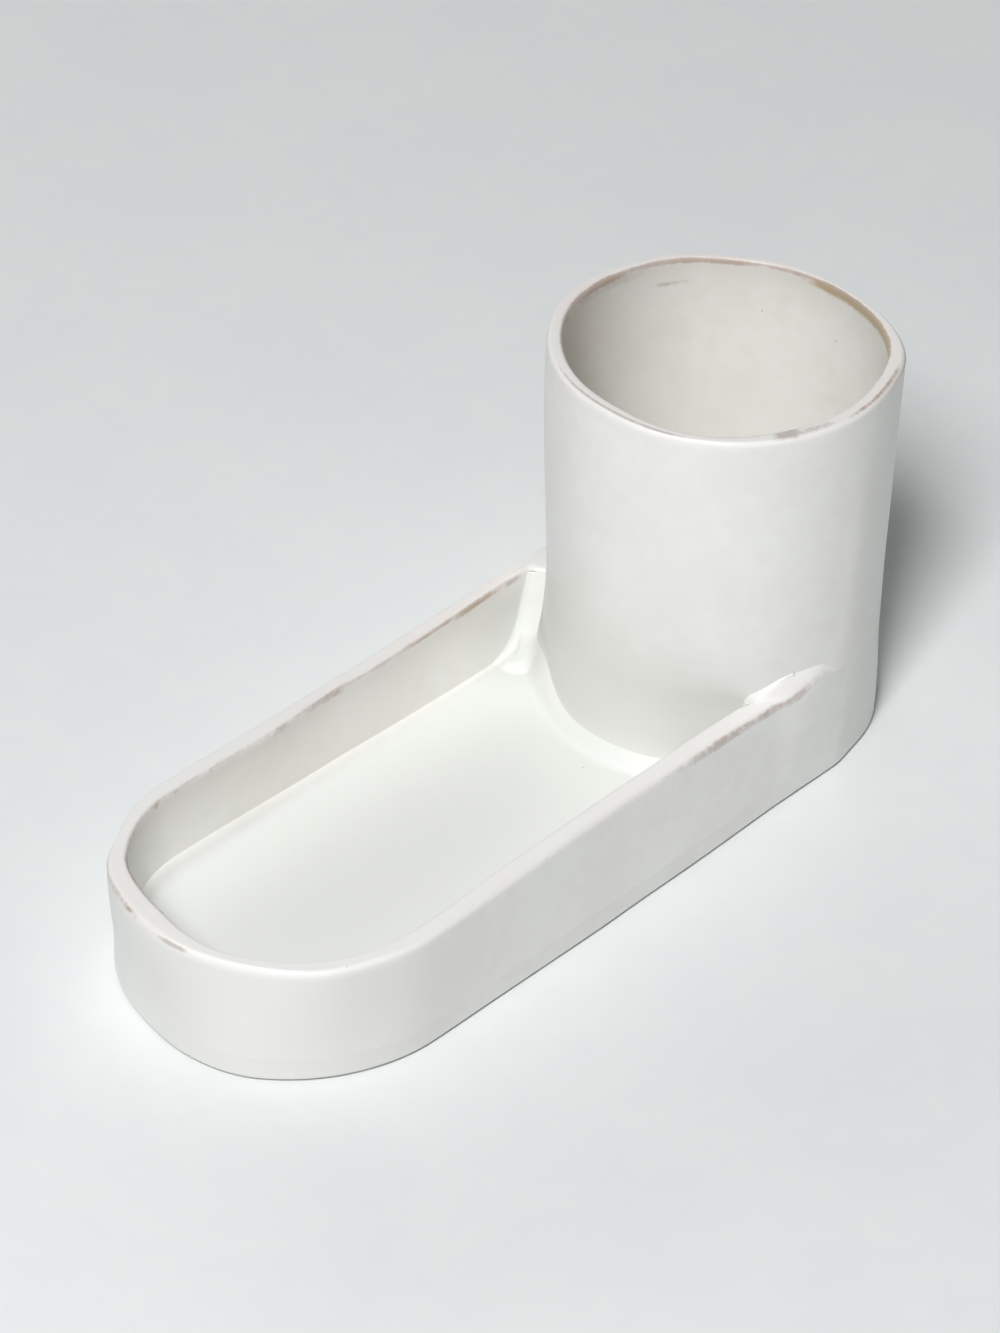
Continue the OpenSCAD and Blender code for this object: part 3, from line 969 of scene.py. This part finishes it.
def add(tree, kind, inputs, **settings):
    """Adds a node with settings, and sets or links its inputs by name or number."""
    node = tree.nodes.new(kind)
    for key, value in settings.items():
        setattr(node, key, value)
    for key, value in inputs.items():
        put(tree, node.inputs[key], value)
    return node


def maths(tree, operation, first, second=0.0):
    """The result of one operation on two values."""
    return add(tree, "ShaderNodeMath", {0: first, 1: second}, operation=operation).outputs[0]


def weighed(tree, *parts):
    """A sum of values, each times its own constant."""
    total = None
    for value, weight in parts:
        part = maths(tree, "MULTIPLY", value, weight)
        total = part if total is None else maths(tree, "ADD", total, part)
    return total


def blend(tree, share, first, second):
    """A colour between two, by a share from 0 to 1."""
    node = add(tree, "ShaderNodeMix", {}, data_type="RGBA")
    for number, value in ((0, share), (6, first), (7, second)):
        put(tree, node.inputs[number], value)
    return node.outputs[2]


def ease(tree, value, low, high):
    """0 below one value, 1 above another, smooth between."""
    node = add(tree, "ShaderNodeMapRange", {"Value": value, "From Min": low, "From Max": high},
               interpolation_type="SMOOTHSTEP")
    return node.outputs["Result"]


def noise(tree, place, per_metre, detail=2.0):
    """Cloudy values about a half, with this many lumps to the metre."""
    node = add(tree, "ShaderNodeTexNoise", {"Vector": place, "Scale": per_metre, "Detail": detail})
    return node.outputs["Fac"]


def stretched(tree, place, scale):
    """A place with each of its three directions scaled."""
    return add(tree, "ShaderNodeVectorMath", {0: place, 1: scale}, operation="MULTIPLY").outputs[0]


def new_group(name, inputs, outputs):
    """An empty node group with named inputs and outputs, and its two end nodes."""
    tree = bpy.data.node_groups.new(name, "ShaderNodeTree")
    for label, kind in inputs.items():
        tree.interface.new_socket(label, in_out="INPUT", socket_type=f"NodeSocket{kind}")
    for label, kind in outputs.items():
        tree.interface.new_socket(label, in_out="OUTPUT", socket_type=f"NodeSocket{kind}")
    return tree, tree.nodes.new("NodeGroupInput").outputs, tree.nodes.new("NodeGroupOutput").inputs


def use(tree, group, **inputs):
    """Adds a node group to a material and gives back its outputs."""
    return add(tree, "ShaderNodeGroup", inputs, node_tree=group).outputs


def new_material(name):
    """An empty material with its tree, its shader and the place of each point on the object."""
    material = bpy.data.materials.new(name)
    material.use_nodes = True
    tree = material.node_tree
    place = add(tree, "ShaderNodeTexCoord", {}).outputs["Object"]
    return material, tree, tree.nodes["Principled BSDF"], place


def raise_by(tree, shader, height):
    """Bends the shader's normal by a height in metres."""
    relief = add(tree, "ShaderNodeBump", {"Height": height, "Strength": 1.0, "Distance": 1.0})
    put(tree, shader.inputs["Normal"], relief.outputs["Normal"])


def ragged_mark_group():
    """Turns a smooth amount into a mark with an irregular edge, worn through in places."""
    tree, given, result = new_group("ragged_mark", {"Place": "Vector", "Amount": "Float"}, {"Mask": "Float"})
    coarse = noise(tree, given["Place"], 170.0, 3.0)
    fine = noise(tree, given["Place"], 800.0, 3.0)
    uneven = weighed(tree, (coarse, 0.8), (fine, 0.7))
    pushed = maths(tree, "ADD", given["Amount"], maths(tree, "SUBTRACT", uneven, 0.75))
    edge = ease(tree, pushed, 0.12, 0.85)
    put(tree, result["Mask"], maths(tree, "MULTIPLY", edge, ease(tree, given["Amount"], 0.02, 0.35)))
    return tree


def mottle_group():
    """Slow clouds and small lumps in a glaze, as one value about a half."""
    tree, given, result = new_group("mottle", {"Place": "Vector"}, {"Value": "Float"})
    clouds = noise(tree, given["Place"], 45.0, 3.0)
    lumps = noise(tree, given["Place"], 230.0, 3.0)
    put(tree, result["Value"], weighed(tree, (clouds, 0.6), (lumps, 0.4)))
    return tree


def brushed_glaze_group():
    """Height of the glaze, in metres: level brush streaks, small soft lumps and a fine skin."""
    tree, given, result = new_group("brushed_glaze", {"Place": "Vector"}, {"Height": "Float"})
    streaks = noise(tree, stretched(tree, given["Place"], (30.0, 30.0, 200.0)), 1.0, 2.0)
    lumps = noise(tree, given["Place"], 170.0, 2.0)
    skin = noise(tree, given["Place"], 650.0, 1.0)
    put(tree, result["Height"], weighed(tree, (streaks, 18e-6), (lumps, 22e-6), (skin, 5e-6)))
    return tree


def pinhole_group():
    """A small dark spot about one place."""
    tree, given, result = new_group("pinhole", {"Place": "Vector", "Middle": "Vector", "Radius": "Float"},
                                    {"Mask": "Float"})
    away = add(tree, "ShaderNodeVectorMath", {0: given["Place"], 1: given["Middle"]}, operation="DISTANCE")
    share = maths(tree, "DIVIDE", away.outputs["Value"], given["Radius"])
    put(tree, result["Mask"], maths(tree, "SUBTRACT", 1.0, ease(tree, share, 0.3, 1.0)))
    return tree


# The glaze's white on outer and inner sides and over a lip: two colours each, which clouds or the
# mark for pink mix, and a warm one for the inner sides
OUTER_WHITES = ((0.79, 0.785, 0.76, 1), (0.82, 0.825, 0.80, 1))
INNER_WHITES = ((0.865, 0.865, 0.81, 1), (0.915, 0.92, 0.885, 1))
INNER_WARM = (0.90, 0.872, 0.835, 1)
LIP_WHITES = ((0.90, 0.898, 0.88, 1), (0.89, 0.83, 0.80, 1))

# What is laid over the white in turn: the mark that says where, how strongly, and the colour
# All these tints but the thick glaze's are painted shade: low on the outer sides, in the back corner, on the
# cup's inner left, and down from the rims on inner sides, where thinner glaze also shows
TINTS = [("painted_side_shade", 0.9, (0.745, 0.745, 0.715, 1)), ("thick_glaze", 1.0, (0.85, 0.865, 0.835, 1)),
         ("painted_corner_shade", 0.7, (0.64, 0.655, 0.63, 1)), ("inner_left_painted_shade", 0.9, (0.51, 0.465, 0.40, 1)),
         ("under_rim_glaze_and_shade", 0.65, (0.68, 0.64, 0.605, 1))]
BREAKS = [("mauve", 0.7, (0.46, 0.38, 0.35, 1)), ("ochre", 0.9, (0.50, 0.37, 0.22, 1)),
          ("brown", 0.85, (0.46, 0.33, 0.245, 1))]
THIN_STRENGTH = 0.9
# Colour of the wear and the painted shade along the lips' edges
WEAR_AND_SHADE_COLOUR = (0.50, 0.42, 0.375, 1)
PINHOLE_STRENGTH, PINHOLE_COLOUR = 0.55, (0.36, 0.31, 0.25, 1)

# Pinholes and specks in the glaze: place on the plain form and radius, in millimetres
PINHOLES = [((64.8, 36.0, 78.7), 0.4), ((101.8, 15.2, 83.1), 0.35), ((105.0, -3.7, 81.9), 0.4),
            ((22.9, -3.6, 6.0), 0.3), ((-54.0, -39.0, 27.6), 0.5), ((-88.8, -33.6, 27.6), 0.5)]


def white_glaze():
    """White glaze: thin and pinkish over the lips, greenish where it lies thick, with brown breaks, and with
    shade painted into its colour in the back corner, inside the cup, under the rims, along the lips' edges
    and low on the outer sides.
    """
    material, tree, shader, place = new_material("white_glaze")

    def amount(name):
        return add(tree, "ShaderNodeAttribute", {}, attribute_name=name).outputs["Fac"]

    mottling = mottle_group()
    mottle = use(tree, mottling, Place=place)["Value"]
    clouded = ease(tree, mottle, 0.36, 0.64)
    other_way = stretched(tree, place, (-0.8, 0.7, 1.1))
    warm = ease(tree, use(tree, mottling, Place=other_way)["Value"], 0.4, 0.62)
    inner = blend(tree, weighed(tree, (warm, 0.5)), blend(tree, clouded, *INNER_WHITES), INNER_WARM)
    colour = blend(tree, amount("inner_side"), blend(tree, clouded, *OUTER_WHITES), inner)
    for name, strength, tint in TINTS:
        colour = blend(tree, weighed(tree, (amount(name), strength)), colour, tint)
    pink = maths(tree, "MULTIPLY", amount("pink"), maths(tree, "ADD", 0.5, weighed(tree, (warm, 0.7))))
    thin = weighed(tree, (amount("thin_glaze"), THIN_STRENGTH))
    colour = blend(tree, thin, colour, blend(tree, pink, *LIP_WHITES))

    ragged = ragged_mark_group()
    for name, strength, tint in BREAKS:
        mask = use(tree, ragged, Place=place, Amount=amount(name))["Mask"]
        colour = blend(tree, weighed(tree, (mask, strength)), colour, tint)
    # The lips' edges: worn glaze and painted shade, with a ragged edge
    worn_and_shaded = amount("worn_and_shaded")
    mask = use(tree, ragged, Place=place, Amount=worn_and_shaded)["Mask"]
    colour = blend(tree, weighed(tree, (mask, 0.45), (worn_and_shaded, 0.35)), colour, WEAR_AND_SHADE_COLOUR)
    pinhole = pinhole_group()
    spots = 0.0
    middles = left_by_hand(np.array([plain for plain, radius in PINHOLES])) * MM
    for middle, (plain, radius) in zip(middles.tolist(), PINHOLES):
        spot = use(tree, pinhole, Place=place, Middle=middle, Radius=radius * MM)["Mask"]
        spots = maths(tree, "MAXIMUM", spots, spot)
    colour = blend(tree, weighed(tree, (spots, PINHOLE_STRENGTH)), colour, PINHOLE_COLOUR)
    put(tree, shader.inputs["Base Color"], colour)

    # The mask of the corner's painted shade also makes the glaze rougher there
    dull = weighed(tree, (mottle, 0.12), (amount("dry"), 0.2), (amount("painted_corner_shade"), 0.3))
    put(tree, shader.inputs["Roughness"], maths(tree, "ADD", 0.25, dull))
    raise_by(tree, shader, use(tree, brushed_glaze_group(), Place=place)["Height"])
    return material


def speckled_clay_group():
    """Colour and height of bare fired clay: warm clouds, iron specks and a fine grain."""
    outputs = {"Colour": "Color", "Height": "Float"}
    tree, given, result = new_group("speckled_clay", {"Place": "Vector"}, outputs)
    clouds = noise(tree, given["Place"], 60.0, 3.0)
    grain = noise(tree, given["Place"], 1500.0, 2.0)
    colour = blend(tree, clouds, (0.40, 0.31, 0.23, 1), (0.56, 0.46, 0.35, 1))
    specks = ease(tree, noise(tree, given["Place"], 900.0, 1.0), 0.68, 0.76)
    put(tree, result["Colour"], blend(tree, weighed(tree, (specks, 0.7)), colour, (0.16, 0.10, 0.07, 1)))
    put(tree, result["Height"], weighed(tree, (grain, 60e-6)))
    return tree


def unglazed_clay():
    """Bare stoneware of the foot, rough and speckled."""
    material, tree, shader, place = new_material("unglazed_clay")
    clay = use(tree, speckled_clay_group(), Place=place)
    put(tree, shader.inputs["Base Color"], clay["Colour"])
    shader.inputs["Roughness"].default_value = 0.85
    raise_by(tree, shader, clay["Height"])
    return material


# Table, light and camera

LAMP_DISTANCE = 2.0
TABLE_HALF = 3.0
TABLE_COLOURS = ((0.83, 0.855, 0.858, 1), (0.85, 0.875, 0.874, 1))

# The photograph's camera: distance and aim in millimetres, turn and height round the holder and roll
# in degrees, and its long lens in the photograph's own pixels
CAMERA_DISTANCE, CAMERA_AIM = 1221.4, (13.06, 13.81, 30.0)
CAMERA_TURN, CAMERA_UP, CAMERA_ROLL = -50.96, 35.25, 3.12
FOCAL_PX, PHOTO_HEIGHT = 5515.0, 1333


def pale_table():
    """A wide pale table top under the holder."""
    material, tree, shader, place = new_material("pale_table")
    mottle = use(tree, mottle_group(), Place=stretched(tree, place, (0.5, 0.5, 0.5)))["Value"]
    put(tree, shader.inputs["Base Color"], blend(tree, ease(tree, mottle, 0.35, 0.65), *TABLE_COLOURS))
    shader.inputs["Roughness"].default_value = 0.7
    mesh = bpy.data.meshes.new("table")
    corners = [(x * TABLE_HALF, y * TABLE_HALF, 0) for x, y in ((-1, -1), (1, -1), (1, 1), (-1, 1))]
    mesh.from_pydata(corners, [], [(0, 1, 2, 3)])
    mesh.materials.append(material)
    table = bpy.data.objects.new("table", mesh)
    bpy.context.scene.collection.objects.link(table)


def toward(azimuth, elevation):
    """Direction to a place: the azimuth turns from the front towards the right, in degrees."""
    turn, lift = np.radians([azimuth, elevation])
    return np.array([np.sin(turn) * np.cos(lift), -np.cos(turn) * np.cos(lift), np.sin(lift)])


def aim(thing, place, target, roll=0.0):
    """Puts a lamp or camera at a place, facing a target, rolled about its own line of sight."""
    look = (Vector(target) - Vector(place)).to_track_quat("-Z", "Y").to_matrix().to_4x4()
    thing.matrix_world = Matrix.Translation(place) @ look @ Matrix.Rotation(roll, 4, "Z")


def softbox(name, direction, size, level, mirrored):
    """An oblong lamp, which gives a white card that faces it the named level of brightness."""
    lamp = bpy.data.lights.new(name, "AREA")
    lamp.shape = "RECTANGLE"
    lamp.size, lamp.size_y = size
    lamp.energy = level * np.pi ** 2 * LAMP_DISTANCE ** 2
    box = bpy.data.objects.new(name, lamp)
    box.visible_glossy = mirrored
    bpy.context.scene.collection.objects.link(box)
    aim(box, direction * LAMP_DISTANCE, (0, 0, 0))


def daylight():
    """A tall window at the front left, a low pale wall behind and a wide weak light from the right."""
    world = bpy.data.worlds.new("studio")
    world.use_nodes = True
    background = world.node_tree.nodes["Background"]
    background.inputs["Color"].default_value = (1, 1, 1, 1)
    background.inputs["Strength"].default_value = 0.03
    bpy.context.scene.world = world
    softbox("window", toward(-64.5, 50.5), (0.46, 0.70), 0.97, True)
    softbox("wall_behind", toward(150, 13), (1.8, 0.6), 0.48, False)
    softbox("light_from_right", toward(66, 16), (2.0, 0.6), 0.11, False)


def photo_camera():
    """The camera of the photograph: a long lens, above and in front of the tray's end."""
    data = bpy.data.cameras.new("camera")
    data.sensor_fit = "VERTICAL"
    data.sensor_height = 36.0
    data.lens = FOCAL_PX * data.sensor_height / PHOTO_HEIGHT
    data.clip_start = 0.05
    camera = bpy.data.objects.new("camera", data)
    bpy.context.scene.collection.objects.link(camera)
    target = np.array(CAMERA_AIM) * MM
    place = target + toward(CAMERA_TURN, CAMERA_UP) * CAMERA_DISTANCE * MM
    aim(camera, place, target, np.radians(CAMERA_ROLL))
    bpy.context.scene.camera = camera


glaze = white_glaze()
base_slab(glaze)
foot_ring(unglazed_clay())
tray_wall(glaze)
cup_wall(glaze)
tray_floor_coil(glaze)
cup_foot_coil(glaze)
cup_floor_coil(glaze)
for side, web_r, corner_r, word in ((-1, FRONT_WEB_R, FRONT_CORNER_R, "front"),
                                    (1, BACK_WEB_R, BACK_CORNER_R, "back")):
    corner_coil(glaze, side, corner_r, word)
    rim_web(glaze, side, web_r, corner_r, word)

pale_table()
daylight()
photo_camera()
bpy.context.scene.view_settings.view_transform = "Standard"
